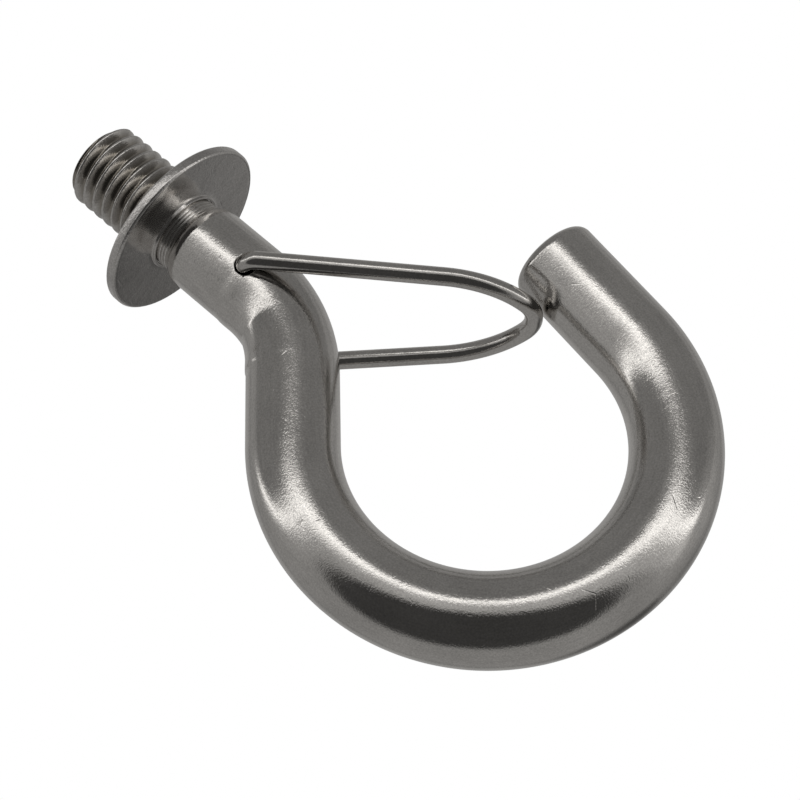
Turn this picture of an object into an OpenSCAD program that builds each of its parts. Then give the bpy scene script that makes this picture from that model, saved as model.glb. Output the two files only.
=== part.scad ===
// Lifting hook with a threaded stud, a turning flange collar and a sprung wire latch.
// Millimetres, +Z up along the stud, +X towards the mouth, hook bent in the XZ plane.
// The origin is on the stud axis, in the plane of the collar's seating face.

/* [Bar] */
// Diameter of the round bar the hook is bent from
bar_d = 12; // [11:0.5:14]

/* [Bowl] */
// Inside diameter of the bowl
bowl_d = 36; // [30:0.5:44]
// Angle through which the bowl bends round
bowl_sweep = 216.6; // [205:0.2:225]
// Straight length of the tip beyond the bowl
tip_length = 16.2; // [12:0.2:19]
// Edge rounding at the end of the tip
tip_edge_r = 1.3; // [0.8:0.1:2.4]

/* [Crank] */
// Angle by which the bar leans back below the shank
crank_angle = 45.2; // [40:0.2:48]
// Centre-line radius of the bend below the shank
crank_r = 18.4; // [14:0.2:22]
// Straight length between that bend and the bowl
link_length = 10.6; // [7:0.2:14]

/* [Shank] */
// Straight length of full-diameter bar below the neck
shank_length = 8.4; // [7:0.2:12]
// Height of the cone between the shank and the neck
shoulder_h = 1.8; // [0.8:0.1:2.4]
// Diameter of the neck that the collar turns on
neck_d = 10.4; // [9.6:0.1:10.8]
// Bare neck between the shoulder and the collar's lip
neck_gap = 1.9; // [1:0.1:3]
// Depth of the fine turned rings on the neck
ring_depth = 0.12; // [0.05:0.01:0.2]

/* [Stud] */
// Diameter over the thread crests
thread_d = 11.68; // [11.4:0.02:11.7]
// Distance between crests
thread_pitch = 1.75; // [1.25:0.05:2]
// Number of whole crests
thread_crests = 8; // [5:1:10]
// Length of the plain end beyond the last crest
stud_end = 1.2; // [0.6:0.1:1.8]

/* [Collar] */
// Outside diameter of the flange
collar_d = 25.2; // [22:0.2:30]
// Thickness of the flange
collar_t = 1.5; // [1:0.1:3]
// Edge break at the rim of the flange
collar_edge = 0.25; // [0.1:0.05:0.4]
// Outside diameter of the small lip round the bore
lip_d = 11.3; // [11.1:0.1:11.3]
// Height of that lip
lip_h = 0.4; // [0.2:0.1:0.8]
// Diameter of the countersink that clears the thread on the seating side
sink_d = 12.4; // [12:0.1:13]

/* [Latch] */
// Diameter of the latch wire
wire_d = 2.4; // [2:0.1:2.6]
// Depth of each pivot hole in the shank
pivot_depth = 3.6; // [3:0.1:4.4]
// Distance of the pivot below the start of the lower bend, negative is above it
pivot_drop = -0.05; // [-1:0.05:1]
// Distance of the pivot behind the shank axis
pivot_back = 0.5; // [0:0.05:1]
// Distance down the tip from its end to the middle of the nose
nose_down = 5.9; // [4:0.1:7]
// Half the straight width of the nose, before its corners are rounded
nose_half = 2.1; // [2:0.1:2.6]
// Length over which the legs close in towards the nose
nose_taper = 5.6; // [5.6:0.1:7]
// Radius of the two nose bends
nose_r = 4.8; // [4:0.1:4.9]
// Radius of the gentle bend where each leg starts to close in
taper_r = 13.6; // [10:0.2:13.8]
// How much wider the loop is where its legs start to close in than at the pivot, each side
leg_splay = 0.75; // [0.4:0.05:0.9]
// Height of the hidden bend in the rear leg below the pivot
knee_drop = 10.6; // [10:0.1:12]
// Distance of that bend ahead of the pivot
knee_ahead = 1; // [0.6:0.1:1.6]
// Radius of that bend
knee_r = 7.4; // [5:0.1:9]
// Radius where each leg turns into its hole
pin_r = 1.7; // [1.4:0.1:2]

/* [Fits] */
// Radial running clearance of collar on neck and of wire in its holes
running_gap = 0.05; // [0.02:0.01:0.09]
// Free gap between latch and hook
free_gap = 0.35; // [0.3:0.05:0.5]
// Radial widening of each pivot hole at its mouth
mouth_flare = 0.3; // [0.25:0.05:0.6]

/* [Hidden] */
$fn = 96;
// A ball this much larger than the bar blends each straight length into a bend,
// and each straight length stops this far short of the ball's middle
bar_blend = 0.02;
bar_stop = 0.05;
// Straight lengths of wire are this much slimmer than the bends, and run this far into them
wire_step = 0.01;
wire_overlap = 0.1;
// Bands that make up a rounded edge
round_steps = 8;
// How far each leg lies off the bar beside its hole
leg_off = 0.2;
// Share of the splay that the rear leg has reached at its hidden bend
knee_share = 0.3;
// The pivot hole's mouth: depth of the wide part and length of the cone below it
mouth_depth = 0.8;
mouth_cone = 0.6;
// A cut runs this far past the surface it opens through
cut_past = 1;
// Edge break of the collar's bore at the lip
bore_edge = 0.15;
bar_r = bar_d / 2;
wire_r = wire_d / 2;
neck_r = neck_d / 2;
bowl_r = bowl_d / 2 + bar_r;

// Heights down the stud axis
neck_top = 0.05;
lip_z = -collar_t - lip_h;
shoulder_top = lip_z - neck_gap;
shoulder_z = shoulder_top - shoulder_h;
crank_z = shoulder_z - shank_length;

// Thread form: sixty degree flanks, flat crests and roots
crest_r = thread_d / 2;
crest_flat = thread_pitch / 8;
thread_depth = 0.58 * thread_pitch;
root_r = crest_r - thread_depth;
flank = thread_depth * tan(30);
first_crest = neck_top + (crest_r - neck_r) * tan(30);
last_crest = first_crest + (thread_crests - 1) * thread_pitch;
stud_top = last_crest + crest_flat + flank + stud_end;

// Centre line of the hook: end of the lower bend, end of the link, centre of the bowl
bend_end = [-crank_r * (1 - cos(crank_angle)), crank_z - crank_r * sin(crank_angle)];
link_end = bend_end - link_length * [sin(crank_angle), cos(crank_angle)];
bowl_c = link_end + bowl_r * [cos(crank_angle), -sin(crank_angle)];
bowl_start = 180 - crank_angle;
tip_angle = bowl_start + bowl_sweep;
tip_root = bowl_c + bowl_r * [cos(tip_angle), sin(tip_angle)];
tip_dir = [-sin(tip_angle), cos(tip_angle)];
tip_end = tip_root + tip_length * tip_dir;

// Latch: pivot, nose and rear knee in the plane of the hook
pivot = [-pivot_back, crank_z - pivot_drop];
tip_inward = [-tip_dir[1], tip_dir[0]];
nose = tip_end - nose_down * tip_dir + (bar_r + free_gap + wire_r) * tip_inward;
knee = pivot + [knee_ahead, -knee_drop];
leg_y = bar_r + leg_off + wire_r;
pin_end_y = bar_r - pivot_depth + free_gap;

function unit(v) = v / norm(v);
function at_y(p, y) = [p[0], y, p[1]];
front_in = nose + nose_taper * unit(pivot - nose);
rear_in = nose + nose_taper * unit(knee - nose);

// Corner points of the latch wire, and the bend radius at each
wire_points = [
    at_y(pivot, -pin_end_y),
    at_y(pivot, -leg_y),
    at_y(front_in, -leg_y - leg_splay),
    at_y(nose, -nose_half),
    at_y(nose, nose_half),
    at_y(rear_in, leg_y + leg_splay),
    at_y(knee, leg_y + leg_splay * knee_share),
    at_y(pivot, leg_y),
    at_y(pivot, pin_end_y)
];
wire_bends = [0, pin_r, taper_r, nose_r, nose_r, taper_r, knee_r, pin_r, 0];
wire_last = len(wire_points) - 1;

// Length of straight wire used up on each side of bend i
function to_prev(i) = unit(wire_points[i - 1] - wire_points[i]);
function to_next(i) = unit(wire_points[i + 1] - wire_points[i]);
function half_turn(i) = (180 - acos(to_prev(i) * to_next(i))) / 2;
function used(i) = i == 0 || i == wire_last ? 0 : wire_bends[i] * tan(half_turn(i));

// Turn a shape so its X, Y and Z axes lie along three square unit vectors
module along(x_axis, y_axis, z_axis) {
    rotate([atan2(y_axis[2], z_axis[2]), -asin(x_axis[2]), atan2(x_axis[1], x_axis[0])])
        children();
}

// Round rod from p to q, running past each end by the stated amount
module rod(p, q, r, past) {
    d = q - p;
    translate(p)
        rotate([0, acos(d[2] / norm(d)), atan2(d[1], d[0])])
            translate([0, 0, -past])
                cylinder(r = r, h = norm(d) + 2 * past);
}

// Ball that blends a rod into a bend at p
module blend(p, r) {
    translate(p)
        sphere(r = r);
}

// Bent rod in the hook's plane about centre c, from angle a0 through sweep degrees
module plane_bend(c, bend_r, a0, sweep, r) {
    translate([c[0], 0, c[1]])
        rotate([90, 0, 0])
            rotate([0, 0, a0])
                rotate_extrude(angle = sweep)
                    translate([bend_r, 0])
                        circle(r = r);
}

// One bend of the latch wire at corner i
module wire_bend(i) {
    a = to_prev(i);
    b = to_next(i);
    turn = 2 * half_turn(i);
    middle = unit(a + b);
    centre = wire_points[i] + middle * wire_bends[i] / cos(turn / 2);
    start = unit(wire_points[i] + a * used(i) - centre);
    side = unit(cross(cross(start, -a), start));
    translate(centre)
        along(start, side, cross(start, side))
            rotate_extrude(angle = turn)
                translate([wire_bends[i], 0])
                    circle(r = wire_r);
}

// Straight tip with its rounded end, turned about the tip's centre line
module tip_bar() {
    edge_x = bar_r - tip_edge_r;
    edge_z = tip_length - tip_edge_r;
    rounding = [for (k = [0:round_steps])
        let (a = 90 * k / round_steps)
        [edge_x + tip_edge_r * cos(a), edge_z + tip_edge_r * sin(a)]];
    rotate_extrude()
        polygon(concat(
            [[0, bar_stop], [bar_r, bar_stop]],
            rounding,
            [[0, tip_length]]
        ));
}

// Shank, shoulder, ringed neck and threaded stud as one turned profile
module turned_end() {
    ring_step = neck_gap / 4;
    rings = [for (k = [1:3]) each [
        [neck_r, shoulder_top + k * ring_step - ring_depth],
        [neck_r - ring_depth, shoulder_top + k * ring_step],
        [neck_r, shoulder_top + k * ring_step + ring_depth]
    ]];
    crests = [for (k = [0:thread_crests - 1]) each [
        [crest_r, first_crest + k * thread_pitch],
        [crest_r, first_crest + k * thread_pitch + crest_flat],
        [root_r, first_crest + k * thread_pitch + crest_flat + flank],
        [root_r, first_crest + (k + 1) * thread_pitch - flank]
    ]];
    kept = len(crests) - 2;
    rotate_extrude()
        polygon(concat(
            [
                [0, crank_z + bar_stop],
                [bar_r, crank_z + bar_stop],
                [bar_r, shoulder_z],
                [neck_r, shoulder_top]
            ],
            rings,
            [[neck_r, neck_top]],
            [for (k = [0:kept]) crests[k]],
            [[root_r, stud_top], [0, stud_top]]
        ));
}

// Blind pivot hole with a flared mouth, on one side of the shank
module pivot_hole(side) {
    hole_r = wire_r + running_gap;
    bottom_y = bar_r - pivot_depth;
    translate([pivot[0], 0, pivot[1]])
        rotate([-90 * side, 0, 0]) {
            translate([0, 0, bottom_y])
                cylinder(r = hole_r, h = pivot_depth + cut_past);
            translate([0, 0, bar_r - mouth_depth - mouth_cone])
                cylinder(r1 = hole_r, r2 = hole_r + mouth_flare, h = mouth_cone);
            translate([0, 0, bar_r - mouth_depth])
                cylinder(r = hole_r + mouth_flare, h = mouth_depth + cut_past);
        }
}

// Bent bar with the shank, neck and stud turned on its upper end
module hook() {
    color([0.60, 0.59, 0.57])
        difference() {
            union() {
                turned_end();
                plane_bend([-crank_r, crank_z], crank_r, -crank_angle, crank_angle, bar_r);
                rod(at_y(bend_end, 0), at_y(link_end, 0), bar_r, -bar_stop);
                plane_bend(bowl_c, bowl_r, bowl_start, bowl_sweep, bar_r);
                translate(at_y(tip_root, 0))
                    rotate([0, 360 - tip_angle, 0])
                        tip_bar();
                for (p = [[0, crank_z], bend_end, link_end, tip_root])
                    blend(at_y(p, 0), bar_r + bar_blend);
            }
            pivot_hole(1);
            pivot_hole(-1);
        }
}

// Flange that turns on the neck, held between the thread and the shoulder
module collar() {
    bore_r = neck_r + running_gap;
    outer = collar_d / 2;
    color([0.64, 0.63, 0.61])
        rotate_extrude()
            polygon([
                [bore_r, lip_z + bore_edge],
                [bore_r + bore_edge, lip_z],
                [lip_d / 2, lip_z],
                [lip_d / 2, -collar_t],
                [outer - collar_edge, -collar_t],
                [outer, -collar_t + collar_edge],
                [outer, -collar_edge],
                [outer - collar_edge, 0],
                [sink_d / 2, 0],
                [bore_r, bore_r - sink_d / 2]
            ]);
}

// Spring wire loop whose two ends sit in the pivot holes
module latch() {
    color([0.57, 0.56, 0.54])
        union() {
            for (i = [0:wire_last - 1])
                rod(
                    wire_points[i] + used(i) * unit(wire_points[i + 1] - wire_points[i]),
                    wire_points[i + 1] + used(i + 1) * unit(wire_points[i] - wire_points[i + 1]),
                    wire_r - wire_step,
                    wire_overlap
                );
            for (i = [1:wire_last - 1])
                wire_bend(i);
        }
}

hook();
collar();
latch();
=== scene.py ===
# Looks for the lifting hook: a swept bar with a rolled thread, a turned collar and a wire latch.
import math

import bmesh
import bpy
from mathutils import Matrix, Vector


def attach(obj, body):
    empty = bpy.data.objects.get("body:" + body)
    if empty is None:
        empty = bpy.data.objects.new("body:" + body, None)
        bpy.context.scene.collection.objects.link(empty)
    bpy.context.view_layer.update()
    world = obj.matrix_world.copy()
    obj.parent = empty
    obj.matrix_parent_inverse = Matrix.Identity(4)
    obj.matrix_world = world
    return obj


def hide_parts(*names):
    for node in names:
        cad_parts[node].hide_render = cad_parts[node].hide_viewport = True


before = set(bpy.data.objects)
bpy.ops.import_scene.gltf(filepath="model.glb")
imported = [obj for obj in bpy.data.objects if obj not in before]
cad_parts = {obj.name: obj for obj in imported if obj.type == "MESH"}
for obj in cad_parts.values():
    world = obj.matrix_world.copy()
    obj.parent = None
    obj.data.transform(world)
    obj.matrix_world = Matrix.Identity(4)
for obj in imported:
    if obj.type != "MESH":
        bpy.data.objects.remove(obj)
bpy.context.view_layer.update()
MM = 0.001
TAU = 2 * math.pi
UV_NAME = "along"

# ---------------------------------------------------------------- sizes, as in the CAD, in mm
BAR_R = 6.0
BOWL_R = 24.0
BOWL_SWEEP = math.radians(216.6)
TIP_LENGTH = 16.2
TIP_EDGE = 1.3
CRANK = math.radians(45.2)
CRANK_R = 18.4
LINK = 10.6
SHOULDER_TOP = -3.8
SHOULDER_Z = -5.6
CRANK_Z = -14.0
NECK_R = 5.2
CREST_R = 5.84
ROOT_R = 4.825
PITCH = 1.75
STUD_TOP = 14.67

COLLAR_R = 12.6
COLLAR_T = 1.5
COLLAR_EDGE = 0.25
LIP_R = 5.65
LIP_H = 0.4
LIP_FLARE = 0.05
SINK_R = 6.2
BORE_R = NECK_R + 0.05
BORE_EDGE = 0.15

WIRE_R = 1.2
PIVOT = (-0.5, -13.95)
PIN_R = 1.7
PIN_END_Y = 2.75
LEG_Y = 7.4
SPLAY = 0.75
NOSE_DOWN = 5.9
NOSE_GAP = 0.35
NOSE_HALF = 2.1
NOSE_R = 4.8
NOSE_TAPER = 5.6
TAPER_R = 13.6
KNEE_AHEAD = 1.0
KNEE_DROP = 10.6
KNEE_R = 7.4
KNEE_SPLAY = 0.3 * SPLAY

HOLE_R = 1.25
HOLE_FLOOR = 2.4
MOUTH = 0.16

# seen only in the visual model, in mm
END_DIMPLE = 0.12
RING_CUT = 0.07
RING_STEP = 0.475
RING_WIDTH = 0.08
CREASE = 0.42
CREASE_LIP = 0.10
CORNER_ROUND = 0.07

# mesh fineness: points round each section, and steps along each length in mm
BAR_SEG = 96
WIRE_SEG = 40
COLLAR_SEG = 160
HOLE_SEG = 48
THREAD_STEP = 0.0625
NECK_STEP = 0.05
SHOULDER_STEP = 0.08
SHANK_STEP = 0.5
BAR_STEP = 0.3
WIRE_STEP = 0.4
WIRE_BEND_STEP = 0.25
TIP_STEPS = 14
FACE_STEPS = (0.12, 0.35, 0.6, 0.85)


# ---------------------------------------------------------------- small helpers
def smooth(a, b, x):
    """0 below a, 1 above b, and a smooth step between."""
    t = min(1.0, max(0.0, (x - a) / (b - a)))
    return t * t * (3 - 2 * t)


def mesh_object(name, verts, faces, uvs=None):
    """A smooth-shaded object from points in mm, with its faces turned outwards."""
    me = bpy.data.meshes.new(name)
    me.from_pydata([tuple(c * MM for c in v) for v in verts], [], faces)
    if uvs:
        layer = me.uv_layers.new(name=UV_NAME)
        for loop in me.loops:
            layer.data[loop.index].uv = uvs[loop.vertex_index]
    for p in me.polygons:
        p.use_smooth = True
    bm = bmesh.new()
    bm.from_mesh(me)
    bmesh.ops.recalc_face_normals(bm, faces=bm.faces)
    bm.to_mesh(me)
    bm.free()
    o = bpy.data.objects.new(name, me)
    bpy.context.scene.collection.objects.link(o)
    return o


def tube(name, rings, seg):
    """A closed tube. rings: list of (centre, across, side, radius(theta), length along the piece)."""
    verts, uvs = [], []
    for c, n, b, r, s in rings:
        for k in range(seg):
            th = TAU * k / seg
            rr = r(th)
            verts.append(
                tuple(c[i] + rr * (math.cos(th) * n[i] + math.sin(th) * b[i]) for i in range(3))
            )
            uvs.append((s * MM, th / TAU))
    faces = []
    for i in range(len(rings) - 1):
        for k in range(seg):
            a, d = i * seg + k, i * seg + (k + 1) % seg
            faces.append((a, d, d + seg, a + seg))
    for i, flip in ((0, True), (len(rings) - 1, False)):
        mid = len(verts)
        verts.append(tuple(rings[i][0]))
        uvs.append((rings[i][4] * MM, 0.5))
        for k in range(seg):
            a, d = i * seg + k, i * seg + (k + 1) % seg
            faces.append((a, mid, d) if flip else (a, d, mid))
    return mesh_object(name, verts, faces, uvs)


# ---------------------------------------------------------------- hook centre line
bend_end = (-CRANK_R * (1 - math.cos(CRANK)), CRANK_Z - CRANK_R * math.sin(CRANK))
link_end = (bend_end[0] - LINK * math.sin(CRANK), bend_end[1] - LINK * math.cos(CRANK))
bowl_c = (link_end[0] + BOWL_R * math.cos(CRANK), link_end[1] - BOWL_R * math.sin(CRANK))
bowl_start = math.pi - CRANK
tip_angle = bowl_start + BOWL_SWEEP
tip_root = (bowl_c[0] + BOWL_R * math.cos(tip_angle), bowl_c[1] + BOWL_R * math.sin(tip_angle))
tip_dir = (-math.sin(tip_angle), math.cos(tip_angle))
tip_end = (tip_root[0] + TIP_LENGTH * tip_dir[0], tip_root[1] + TIP_LENGTH * tip_dir[1])


def hook_line(step):
    """Points of the centre line below the shank: (x, z), unit tangent, distance from CRANK_Z."""
    out = []
    n = round(CRANK_R * CRANK / step)
    for i in range(n + 1):
        a = CRANK * i / n
        out.append(
            ((-CRANK_R * (1 - math.cos(a)), CRANK_Z - CRANK_R * math.sin(a)),
             (-math.sin(a), -math.cos(a)), CRANK_R * a)
        )
    s = CRANK_R * CRANK
    n = round(LINK / step)
    t = (-math.sin(CRANK), -math.cos(CRANK))
    for i in range(1, n + 1):
        d = LINK * i / n
        out.append(((bend_end[0] + t[0] * d, bend_end[1] + t[1] * d), t, s + d))
    s += LINK
    n = round(BOWL_R * BOWL_SWEEP / step)
    for i in range(1, n + 1):
        a = bowl_start + BOWL_SWEEP * i / n
        out.append(
            ((bowl_c[0] + BOWL_R * math.cos(a), bowl_c[1] + BOWL_R * math.sin(a)),
             (-math.sin(a), math.cos(a)), s + BOWL_R * BOWL_SWEEP * i / n)
        )
    s += BOWL_R * BOWL_SWEEP
    n = round((TIP_LENGTH - TIP_EDGE) / step)
    for i in range(1, n + 1):
        d = (TIP_LENGTH - TIP_EDGE) * i / n
        out.append(((tip_root[0] + tip_dir[0] * d, tip_root[1] + tip_dir[1] * d), tip_dir, s + d))
    return out


def thread_r(th, z):
    """Radius of the thread at angle th and height z: a rolled form on a right-hand helix."""
    turn = z / PITCH - th / TAU
    ph = abs((turn % 1.0) - 0.5) * 2  # 0 at the root, 1 at the crest
    form = min(1.0, ph / 0.88) ** 1.45
    r = ROOT_R + (CREST_R - ROOT_R) * form
    run_out = NECK_R - 0.1
    return run_out + (r - run_out) * smooth(0.05, 1.5, z)


def stud_r(th, z):
    """Radius of the stud: its thread, cut back by the chamfer at its end."""
    r = thread_r(th, z) if z > 0.05 else NECK_R
    return min(r, ROOT_R + 0.02 + max(0.0, STUD_TOP - z) * 1.05)


def neck_r(z):
    """Radius of the neck with its three turned rings, and of the rounded shoulder under it."""
    if z >= SHOULDER_TOP:
        r = NECK_R
        for k in (1, 2, 3):
            c = SHOULDER_TOP + k * RING_STEP
            r -= RING_CUT * math.exp(-(((z - c) / RING_WIDTH) ** 2))
        return r
    t = (SHOULDER_TOP - z) / (SHOULDER_TOP - SHOULDER_Z)
    return NECK_R + (BAR_R - NECK_R) * (1 - (1 - min(1, t)) ** 2.2)


def crank_r_at(a):
    """Bar radius in the crank: the inside of the bend is pinched into a shallow crease."""
    off = abs(a - CRANK / 2)
    pinch = CREASE * max(0.0, 1 - off / 0.34) ** 1.25
    pinch -= CREASE_LIP * math.exp(-(((off - 0.36) / 0.12) ** 2))
    return lambda th: BAR_R - pinch * max(0.0, -math.cos(th - 0.12)) ** 1.4


def build_hook():
    rings = []
    x_ax, y_ax = (1, 0, 0), (0, 1, 0)

    def upright(z, r):
        rings.append(((0, 0, z), x_ax, y_ax, r, CRANK_Z - z))

    # end face with a shallow dimple, chamfer, thread
    for f in (*FACE_STEPS, 0.97):
        rr = (ROOT_R - 0.12) * f
        upright(STUD_TOP - END_DIMPLE * math.exp(-((f * 2.2) ** 2)), lambda th, rr=rr: rr)
    for d in (0.0, 0.03, 0.08):
        upright(STUD_TOP - d, lambda th, d=d: ROOT_R - 0.1 + 0.1 * smooth(0, 0.08, d))
    z = STUD_TOP - 0.12
    while z > 0.02:
        upright(z, lambda th, z=z: stud_r(th, z))
        z -= THREAD_STEP
    z = 0.0
    while z > SHOULDER_TOP:
        upright(z, lambda th, z=z: neck_r(z))
        z -= NECK_STEP
    z = SHOULDER_TOP
    while z > SHOULDER_Z - 0.2:
        upright(z, lambda th, z=z: neck_r(max(z, SHOULDER_Z)))
        z -= SHOULDER_STEP
    z = SHOULDER_Z - 0.3
    while z > CRANK_Z + 0.3:
        upright(z, lambda th: BAR_R)
        z -= SHANK_STEP
    for (x, z), t, s in hook_line(BAR_STEP):
        n = (-t[1], 0, t[0])
        r = crank_r_at(s / CRANK_R) if s < CRANK_R * CRANK else (lambda th: BAR_R)
        rings.append(((x, 0, z), n, y_ax, r, s))
    s0 = rings[-1][4]
    n = (-tip_dir[1], 0, tip_dir[0])
    for i in range(1, TIP_STEPS + 1):
        a = (math.pi / 2) * i / TIP_STEPS
        d = TIP_LENGTH - TIP_EDGE + TIP_EDGE * math.sin(a)
        rr = BAR_R - TIP_EDGE + TIP_EDGE * math.cos(a)
        c = (tip_root[0] + tip_dir[0] * d, 0, tip_root[1] + tip_dir[1] * d)
        rings.append((c, n, y_ax, lambda th, rr=rr: rr, s0 + TIP_EDGE * a))
    for f in reversed(FACE_STEPS):
        rr = (BAR_R - TIP_EDGE) * f
        s = s0 + TIP_EDGE * 1.6 + (1 - f)
        rings.append((tuple(rings[-1][0]), n, y_ax, lambda th, rr=rr: rr, s))
    return tube("hook_bar", rings, BAR_SEG)


def revolve(name, profile, seg):
    """A ring turned round the Z axis from a closed outline of (radius, height)."""
    verts, faces, uvs = [], [], []
    n = len(profile)
    for i, (r, z) in enumerate(profile):
        for k in range(seg):
            th = TAU * k / seg
            verts.append((r * math.cos(th), r * math.sin(th), z))
            uvs.append((r * MM, th / TAU))
    for i in range(n):
        j = (i + 1) % n
        for k in range(seg):
            a, b = i * seg + k, i * seg + (k + 1) % seg
            c, d = j * seg + (k + 1) % seg, j * seg + k
            faces.append((a, b, c, d))
    return mesh_object(name, verts, faces, uvs)


def build_collar():
    bottom = -COLLAR_T - LIP_H
    corners = [
        (BORE_R + BORE_EDGE, bottom), (LIP_R, bottom), (LIP_R + LIP_FLARE, -COLLAR_T),
        (COLLAR_R - COLLAR_EDGE, -COLLAR_T), (COLLAR_R, -COLLAR_T + COLLAR_EDGE), (COLLAR_R, -COLLAR_EDGE),
        (COLLAR_R - COLLAR_EDGE, 0), (SINK_R, 0), (BORE_R, BORE_R - SINK_R), (BORE_R, bottom + BORE_EDGE),
    ]
    prof = []
    n = len(corners)
    for i in range(n):  # each corner gets a tiny round, flats get extra rings near their ends
        p, a, b = corners[i], corners[i - 1], corners[(i + 1) % n]
        la, lb = math.dist(p, a), math.dist(p, b)
        r = min(CORNER_ROUND, la * 0.3, lb * 0.3)
        pa = tuple(p[k] + (a[k] - p[k]) / la * r for k in (0, 1))
        pb = tuple(p[k] + (b[k] - p[k]) / lb * r for k in (0, 1))
        for t in (0, 0.25, 0.5, 0.75, 1):
            q = tuple((1 - t) ** 2 * pa[k] + 2 * t * (1 - t) * p[k] + t * t * pb[k] for k in (0, 1))
            prof.append(q)
        if lb > 1:
            m = max(2, int(lb / 0.6))
            q0, q1 = pb, corners[(i + 1) % n]
            for j in range(1, m):
                prof.append(tuple(q0[k] + (q1[k] - q0[k]) * j / m for k in (0, 1)))
    return revolve("collar_flange", prof, COLLAR_SEG)


# ---------------------------------------------------------------- latch wire path
def step_to(a, b, d):
    """The point at distance d from a on the way to b."""
    l = math.dist(a, b)
    return (a[0] + (b[0] - a[0]) / l * d, a[1] + (b[1] - a[1]) / l * d)


inward = (-tip_dir[1], tip_dir[0])
nose_off = BAR_R + NOSE_GAP + WIRE_R
NOSE = tuple(tip_end[i] - NOSE_DOWN * tip_dir[i] + nose_off * inward[i] for i in (0, 1))
KNEE = (PIVOT[0] + KNEE_AHEAD, PIVOT[1] - KNEE_DROP)
FRONT_IN = step_to(NOSE, PIVOT, NOSE_TAPER)
REAR_IN = step_to(NOSE, KNEE, NOSE_TAPER)

# corners of the wire: place in the plane of the hook, sideways place, bend radius
WIRE = [
    (PIVOT, -PIN_END_Y, 0), (PIVOT, -LEG_Y, PIN_R), (FRONT_IN, -LEG_Y - SPLAY, TAPER_R),
    (NOSE, -NOSE_HALF, NOSE_R), (NOSE, NOSE_HALF, NOSE_R), (REAR_IN, LEG_Y + SPLAY, TAPER_R),
    (KNEE, LEG_Y + KNEE_SPLAY, KNEE_R), (PIVOT, LEG_Y, PIN_R), (PIVOT, PIN_END_Y, 0),
]


def wire_path(step):
    """Points along the wire: straights joined by arcs."""
    pts = [Vector((p[0], y, p[1])) for p, y, _ in WIRE]
    rad = [r for _, _, r in WIRE]
    out = [pts[0]]
    for i in range(1, len(pts) - 1):
        a, b = (pts[i - 1] - pts[i]).normalized(), (pts[i + 1] - pts[i]).normalized()
        half = (math.pi - math.acos(a.dot(b))) / 2
        used = rad[i] * math.tan(half)
        mid = (a + b).normalized()
        c = pts[i] + mid * rad[i] / math.cos(half)
        p0, p1 = pts[i] + a * used, pts[i] + b * used
        # straight up to the bend
        gap = (p0 - out[-1]).length
        m = max(1, round(gap / step))
        start = out[-1].copy()
        for j in range(1, m + 1):
            out.append(start.lerp(p0, j / m))
        u, w = (p0 - c) / rad[i], (p1 - c) / rad[i]
        om = math.acos(max(-1, min(1, u.dot(w))))
        m = max(3, round(rad[i] * om / min(step, WIRE_BEND_STEP)))
        for j in range(1, m + 1):
            t = j / m
            spoke = (math.sin((1 - t) * om) * u + math.sin(t * om) * w) / math.sin(om)
            out.append(c + rad[i] * spoke)
    start = out[-1].copy()
    m = max(1, round((pts[-1] - start).length / step))
    for j in range(1, m + 1):
        out.append(start.lerp(pts[-1], j / m))
    return out


def build_wire():
    path = wire_path(WIRE_STEP)
    rings, s = [], 0.0
    n = Vector((0, 0, 1))
    for i, p in enumerate(path):
        a, b = path[max(0, i - 1)], path[min(len(path) - 1, i + 1)]
        t = (b - a).normalized()
        n = (n - t * n.dot(t)).normalized()
        side = t.cross(n)
        if i:
            s += (p - path[i - 1]).length
        rings.append((tuple(p), tuple(n), tuple(side), lambda th: WIRE_R, s))
    return tube("latch_wire", rings, WIRE_SEG)


hook = build_hook()
collar = build_collar()
wire = build_wire()


# ---------------------------------------------------------------- pivot holes, cut into the bar
def cutter(side):
    """The shape of one pivot hole, with its softened mouth, as (radius, distance from the hook's plane)."""
    wide = HOLE_R + MOUTH
    prof = [
        (0, HOLE_FLOOR), (HOLE_R - 0.02, HOLE_FLOOR), (HOLE_R, HOLE_FLOOR + 0.1), (HOLE_R, 4.6),
        (HOLE_R + 0.08, 4.8), (HOLE_R + 0.22, 5.15), (wide, 5.4), (wide, 5.75), (wide + 0.12, BAR_R),
        (wide + 0.7, BAR_R + 1.2), (0, BAR_R + 1.2),
    ]
    seg = HOLE_SEG
    verts, faces = [], []
    for r, d in prof:
        for k in range(seg):
            th = TAU * k / seg
            rr = max(r, 1e-4)
            verts.append((PIVOT[0] + rr * math.cos(th), side * d, PIVOT[1] + rr * math.sin(th)))
    for i in range(len(prof) - 1):
        for k in range(seg):
            a, b = i * seg + k, i * seg + (k + 1) % seg
            faces.append((a, b, b + seg, a + seg))
    for i in (0, len(prof) - 1):
        faces.append([i * seg + k for k in range(seg)])
    return mesh_object("cut", verts, faces)


for side in (-1, 1):
    c = cutter(side)
    m = hook.modifiers.new("hole", "BOOLEAN")
    m.operation = "DIFFERENCE"
    m.solver = "EXACT"
    m.object = c
    dg = bpy.context.evaluated_depsgraph_get()
    me = bpy.data.meshes.new_from_object(hook.evaluated_get(dg))
    hook.modifiers.clear()
    hook.data = me
    bpy.data.objects.remove(c)
for p in hook.data.polygons:
    p.use_smooth = True


# ---------------------------------------------------------------- materials
BUMP_DEPTH = 0.06 * MM
SCRATCHES = ((0.4, 300, 0.66), (1.7, 420, 0.68), (2.6, 240, 0.66))  # turn, scale, how rare


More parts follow.
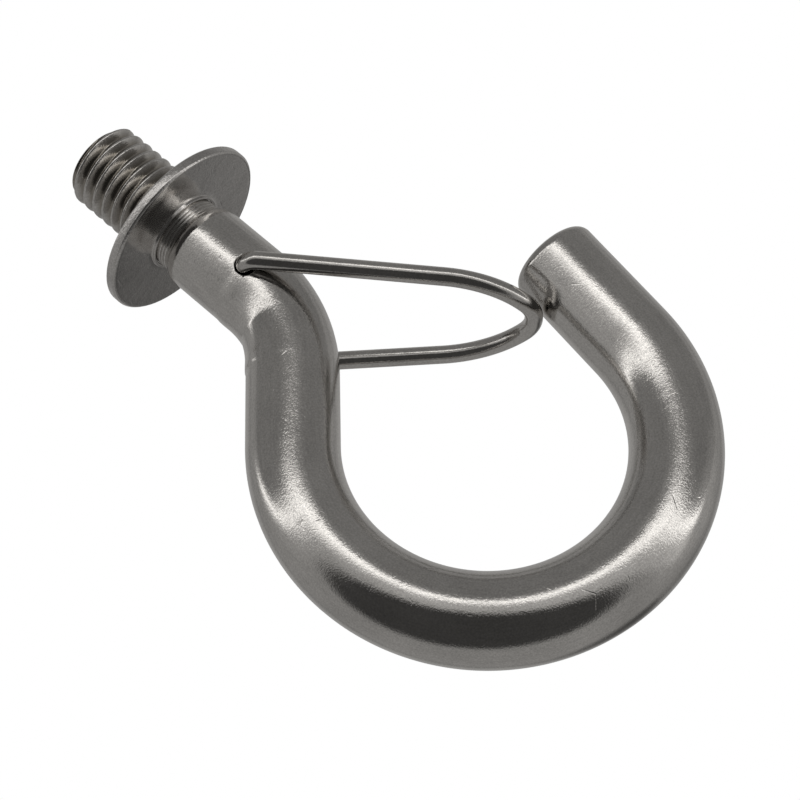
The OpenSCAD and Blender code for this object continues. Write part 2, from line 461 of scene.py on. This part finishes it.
def math_node(tree, op, a, b=0.0):
    """A math node in a tree; a and b are numbers or sockets."""
    n = tree.nodes.new("ShaderNodeMath")
    n.operation = op
    for i, x in enumerate((a, b)):
        if isinstance(x, (int, float)):
            n.inputs[i].default_value = x
        else:
            tree.links.new(x, n.inputs[i])
    return n.outputs[0]


def steel(name, base, rough, streak, pit, seed, peel=1.0, coarse=None, shaded_root_radii=None):
    """Polished steel. streak, pit and peel scale its drawing lines, its pits and nicks, and its waviness.

    coarse is where the skin is rougher: (coordinate, from, to, extra bump, extra roughness), with Z as the
    height and X as the distance from the axis, in metres. The last argument paints shade into a thread's
    roots, darker and browner towards the root: (crest side, root side).
    """
    mat = bpy.data.materials.new(name)
    mat.use_nodes = True
    nt = mat.node_tree
    nt.nodes.clear()
    N, L = nt.nodes.new, nt.links.new
    out = N("ShaderNodeOutputMaterial")
    bsdf = N("ShaderNodeBsdfPrincipled")
    bsdf.inputs["Metallic"].default_value = 1.0
    L(bsdf.outputs["BSDF"], out.inputs["Surface"])
    uv_node = N("ShaderNodeUVMap")
    uv_node.uv_map = UV_NAME
    obj, uv = N("ShaderNodeTexCoord").outputs["Object"], uv_node.outputs["UV"]

    def add(a, b):
        return math_node(nt, "ADD", a, b)

    def sub(a, b):
        return math_node(nt, "SUBTRACT", a, b)

    def mul(a, b):
        return math_node(nt, "MULTIPLY", a, b)

    def tex(kind, coord, scale, detail=4.0, rough_=0.55, vec=(1, 1, 1)):
        mp = N("ShaderNodeMapping")
        mp.inputs["Scale"].default_value = vec
        mp.inputs["Location"].default_value = (seed, seed * 0.37, seed * 1.7)
        L(coord, mp.inputs["Vector"])
        t = N(kind)
        t.inputs["Scale"].default_value = scale
        if "Detail" in t.inputs:
            t.inputs["Detail"].default_value = detail
        if "Roughness" in t.inputs:
            t.inputs["Roughness"].default_value = rough_
        L(mp.outputs["Vector"], t.inputs["Vector"])
        return t

    def noise(coord, scale, detail, *rest):
        return tex("ShaderNodeTexNoise", coord, scale, detail, *rest).outputs["Fac"]

    def ramp(src, *stops):
        r = N("ShaderNodeValToRGB")
        for e, (place, value) in zip(r.color_ramp.elements, stops):
            e.position, e.color = place, (value, value, value, 1)
        L(src, r.inputs["Fac"])
        return r.outputs["Color"]

    def span(src, lo, hi):
        r = N("ShaderNodeMapRange")
        r.inputs["From Min"].default_value, r.inputs["From Max"].default_value = lo, hi
        L(src, r.inputs["Value"])
        return r.outputs["Result"]

    def colour(low, high, factor):
        """low is a colour or a socket; high is a colour."""
        m = N("ShaderNodeMix")
        m.data_type = "RGBA"
        if isinstance(low, tuple):
            m.inputs[6].default_value = (*low, 1)
        else:
            L(low, m.inputs[6])
        m.inputs[7].default_value = (*high, 1)
        L(factor, m.inputs["Factor"])
        return m.outputs[2]

    def shade(*k):
        return tuple(min(1, c * f) for c, f in zip(base, k))

    cloud = noise(obj, 90, 5)        # broad polish variation
    fine = noise(obj, 4300, 2)       # orange peel
    wave = noise(obj, 420, 2)        # slow waviness of the polished skin
    grit = noise(obj, 9000, 1)       # micro grain
    pits = tex("ShaderNodeTexVoronoi", obj, 650).outputs["Distance"]
    lines = noise(uv, 1, 6, 0.65, (260, 95, 1))
    fine_lines = noise(uv, 1, 4, 0.6, (900, 420, 1))
    pit_here = mul(ramp(pits, (0.04, 1.0), (0.14, 0.0)), ramp(cloud, (0.52, 0.0), (0.58, 1.0)))
    if coarse:
        axis, start, end, extra_bump, extra_rough = coarse
        place = N("ShaderNodeSeparateXYZ")
        L(obj if axis == "Z" else uv, place.inputs[0])
        band = span(place.outputs[axis], start, end)

    # colour: light and dark grain, darker pits, and painted shade in the thread roots, darker and browner
    # towards the root
    tone = add(cloud, mul(sub(fine, 0.5), 1.3))
    tone = add(tone, mul(sub(lines, 0.5), 0.7))
    skin = colour(shade(0.74, 0.74, 0.74), shade(1.24, 1.24, 1.24), tone)
    skin = colour(skin, shade(0.35, 0.35, 0.35), mul(pit_here, 0.85 * pit))
    # painted shade: the thread darkens and turns brown from its crest radius in to its root radius
    if shaded_root_radii:
        flat = N("ShaderNodeCombineXYZ")
        L(place.outputs["X"], flat.inputs["X"])
        L(place.outputs["Y"], flat.inputs["Y"])
        radius = N("ShaderNodeVectorMath")
        radius.operation = "LENGTH"
        L(flat.outputs[0], radius.inputs[0])
        root_shade_amount = mul(mul(span(radius.outputs["Value"], *shaded_root_radii), band), 0.75)
        skin = colour(skin, shade(0.42, 0.39, 0.34), root_shade_amount)
    L(skin, bsdf.inputs["Base Color"])

    # roughness
    r1 = mul(sub(cloud, 0.5), 0.14)
    r2 = mul(sub(lines, 0.5), 0.22 * streak)
    r3 = mul(sub(grit, 0.5), 0.08)
    rr = add(add(add(r1, r2), add(r3, rough)), mul(pit_here, 0.25))
    if coarse:
        rr = add(rr, mul(band, extra_rough))
    L(rr, bsdf.inputs["Roughness"])

    # bump: peel, grain, drawing lines, waviness, scratches and pits
    h = add(mul(fine, 0.5 * peel), mul(grit, 0.25 * peel))
    h = add(h, mul(fine_lines, 0.14 * streak))
    h = add(h, mul(wave, 0.7 * peel))
    for turn, scale, rare in SCRATCHES:
        mp = N("ShaderNodeMapping")
        mp.inputs["Rotation"].default_value = (turn, turn * 0.7, turn * 1.9)
        mp.inputs["Scale"].default_value = (1, 0.16, 1)
        L(obj, mp.inputs["Vector"])
        cut = N("ShaderNodeTexVoronoi")
        cut.feature = "DISTANCE_TO_EDGE"
        cut.inputs["Scale"].default_value = scale
        L(mp.outputs["Vector"], cut.inputs["Vector"])
        where = ramp(noise(obj, scale * 0.9, 2), (rare - 0.02, 0.0), (rare + 0.03, 1.0))
        line = mul(ramp(cut.outputs["Distance"], (0.0, 1.0), (0.035, 0.0)), where)
        h = sub(h, mul(line, 0.5 * pit))
    h = sub(h, mul(pit_here, 1.6 * pit))
    if coarse:
        h = add(h, mul(mul(noise(obj, 3000, 3), band), extra_bump))
    bump = N("ShaderNodeBump")
    bump.inputs["Strength"].default_value = 0.35
    bump.inputs["Distance"].default_value = BUMP_DEPTH
    L(h, bump.inputs["Height"])
    L(bump.outputs["Normal"], bsdf.inputs["Normal"])
    return mat


THREAD_SKIN = ("Z", -1.0 * MM, 0.5 * MM, 0.1, 0.02)
# radii (crest side, root side) of the painted shade in the thread roots
THREAD_ROOT_SHADE = (5.65 * MM, 5.0 * MM)
RIM_SKIN = ("X", 12.15 * MM, 12.4 * MM, 2.2, 0.13)

hook.data.materials.clear()
hook.data.materials.append(
    steel("hook_steel", (0.60, 0.585, 0.565), 0.07, 0.8, 1.0, 0.3, 1.25, THREAD_SKIN, THREAD_ROOT_SHADE)
)
collar.data.materials.append(
    steel("collar_steel", (0.60, 0.585, 0.57), 0.10, 0.6, 0.5, 2.1, 0.8, RIM_SKIN)
)
wire.data.materials.append(steel("wire_steel", (0.58, 0.565, 0.545), 0.07, 1.2, 0.2, 4.6, 0.5))

for o, node, slot in (
    (hook, "hook", "hook_steel"), (collar, "collar", "collar_steel"), (wire, "latch", "wire_steel"),
):
    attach(o, node)
    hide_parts(node)


# ---------------------------------------------------------------- camera
CAM_PLACE = Vector((-0.102380, -0.265603, -0.138855))
CAM_AZIMUTH = math.radians(21.306)
CAM_ELEVATION = math.radians(19.203)
CAM_ROLL = math.radians(-50.245)
CAM_LENS = 107.391
CAM_SENSOR = 36

cam_ahead = Vector((
    math.sin(CAM_AZIMUTH) * math.cos(CAM_ELEVATION),
    math.cos(CAM_AZIMUTH) * math.cos(CAM_ELEVATION),
    math.sin(CAM_ELEVATION),
))
level_right = Vector((math.cos(CAM_AZIMUTH), -math.sin(CAM_AZIMUTH), 0))
level_up = level_right.cross(cam_ahead)
cam_right = math.cos(CAM_ROLL) * level_right + math.sin(CAM_ROLL) * level_up
cam_down = cam_ahead.cross(cam_right)

cam_data = bpy.data.cameras.new("camera")
cam = bpy.data.objects.new("camera", cam_data)
bpy.context.scene.collection.objects.link(cam)
cam_data.sensor_width = CAM_SENSOR
cam_data.lens = CAM_LENS
cam_data.clip_start, cam_data.clip_end = 0.01, 50
axes = Matrix((cam_right, -cam_down, -cam_ahead)).transposed()
cam.matrix_world = Matrix.Translation(CAM_PLACE) @ axes.to_4x4()
bpy.context.scene.camera = cam


# ---------------------------------------------------------------- floor and lamp
# Neither shows in reflections: the steel is lit by the room below alone.
FLOOR_Z = -0.55
FLOOR_SIZE = 60

bpy.ops.mesh.primitive_plane_add(size=FLOOR_SIZE, location=(0, 0, FLOOR_Z))
floor = bpy.context.object
floor.name = "floor"
pale = bpy.data.materials.new("floor_pale")
pale.use_nodes = True
pale_bsdf = pale.node_tree.nodes["Principled BSDF"]
pale_bsdf.inputs["Base Color"].default_value = (0.9, 0.9, 0.9, 1)
pale_bsdf.inputs["Roughness"].default_value = 0.9
floor.data.materials.append(pale)
floor.visible_glossy = False

lamp = bpy.data.lights.new("soft_sun", "SUN")
lamp.energy = 2.6
lamp.angle = 0.9
sun = bpy.data.objects.new("soft_sun", lamp)
bpy.context.scene.collection.objects.link(sun)
sun.rotation_euler = (0.35, 0.25, 0.0)
sun.visible_glossy = False


# ---------------------------------------------------------------- the room, seen in reflections only
world = bpy.data.worlds.new("studio")
bpy.context.scene.world = world
world.use_nodes = True
wn = world.node_tree
wn.nodes.clear()
wo = wn.nodes.new("ShaderNodeOutputWorld")
wmix = wn.nodes.new("ShaderNodeMixShader")
light_path = wn.nodes.new("ShaderNodeLightPath")
room = wn.nodes.new("ShaderNodeBackground")
room.inputs["Color"].default_value = (1.0, 0.985, 0.965, 1)
back = wn.nodes.new("ShaderNodeBackground")
back.inputs["Color"].default_value = (1, 1, 1, 1)
back.inputs["Strength"].default_value = 1.0
wn.links.new(light_path.outputs["Is Camera Ray"], wmix.inputs["Fac"])
wn.links.new(room.outputs[0], wmix.inputs[1])
wn.links.new(back.outputs[0], wmix.inputs[2])
wn.links.new(wmix.outputs[0], wo.inputs["Surface"])
direction = wn.nodes.new("ShaderNodeTexCoord").outputs["Generated"]


def wadd(a, b):
    return math_node(wn, "ADD", a, b)


def wsub(a, b):
    return math_node(wn, "SUBTRACT", a, b)


def wmul(a, b):
    return math_node(wn, "MULTIPLY", a, b)


def wdiv(a, b):
    return math_node(wn, "DIVIDE", a, b)


def wdot(v):
    """How far the direction seen lies along v."""
    n = wn.nodes.new("ShaderNodeVectorMath")
    n.operation = "DOT_PRODUCT"
    wn.links.new(direction, n.inputs[0])
    n.inputs[1].default_value = tuple(v)
    return n.outputs["Value"]


def wstep(x, lo, hi):
    """A smooth step from 0 at lo to 1 at hi."""
    n = wn.nodes.new("ShaderNodeMapRange")
    n.interpolation_type = "SMOOTHSTEP"
    wn.links.new(x, n.inputs["Value"])
    n.inputs["From Min"].default_value, n.inputs["From Max"].default_value = lo, hi
    return n.outputs["Result"]


def wbell(x, middle, width):
    """A bell of height 1 round middle."""
    t = wdiv(wsub(x, middle), width)
    return math_node(wn, "POWER", 2.718, wmul(wmul(t, t), -1.0))


def dimmed(light, where, amount):
    """The light, less the given share of it where the mask is 1."""
    return wmul(light, wsub(1.0, wmul(where, amount)))


# Directions fixed in the room: wx right, wy down and wz back, as the shot is set up. They don't follow
# the camera when it is moved.
wx, wy, wz = wdot(cam_right), wdot(cam_down), wdot(-cam_ahead)
left = wstep(wmul(wx, -1.0), 0.1, 0.6)

# an arched bright strip overhead, dimmer with a thin bright core to the left, a seam and a soft shoulder
off_strip = wsub(wadd(wy, 0.733), wmul(wmul(wx, wx), 0.69))
across = wdiv(off_strip, wadd(0.058, wmul(left, 0.022)))
strip = wstep(wmul(wmul(across, across), -1.0), -1.3, -0.6)
strip = wmul(strip, wsub(1.6, wmul(left, 1.15)))
strip = wadd(strip, wmul(wmul(wbell(off_strip, -0.03, 0.03), left), 1.35))
shoulder = wmul(wstep(off_strip, -0.02, 0.02), wsub(1.0, wstep(off_strip, 0.20, 0.42)))
strip = wadd(strip, wmul(shoulder, wsub(0.24, wmul(left, 0.19))))
strip = dimmed(strip, wbell(off_strip, 0.02, 0.02), 0.6)
strip = wmul(strip, wstep(wsub(wz, wmul(wx, 0.15)), -0.22, 0.0))

# the dark opening behind the camera
ax = wdiv(wadd(wx, 0.06), 0.76)
ay = wdiv(wsub(wy, 0.27), 0.60)
opening = wstep(wmul(wadd(wmul(ax, ax), wmul(ay, ay)), -1.0), -1.2, -0.92)
opening = wmul(opening, wstep(wz, 0.0, 0.2))

# a dark corner, and the edge across it
corner = wstep(wdot((0.320, 0.843, -0.433)), 0.90, 0.985)
corner_shade = wsub(0.66, wmul(wstep(wdot((0.945, -0.29, 0.15)), -0.045, 0.04), 0.42))

# the pale walls, darker above the strip, with a lighter right end and a thin dark ring behind the hook
level = wadd(0.215, wmul(wstep(off_strip, -0.17, -0.11), 0.095))
level = wadd(level, wmul(wstep(wx, 0.85, 0.98), 0.09))
level = dimmed(level, wbell(wz, -0.67, 0.03), 0.3)
level = dimmed(level, corner, corner_shade)
level = dimmed(level, opening, 0.82)
level = wadd(level, strip)
level = wadd(level, wmul(wstep(wmul(wz, -1.0), 0.6, 0.9), 0.06))
wn.links.new(level, room.inputs["Strength"])

bpy.context.scene.view_settings.view_transform = "Standard"
bpy.context.scene.view_settings.look = "None"
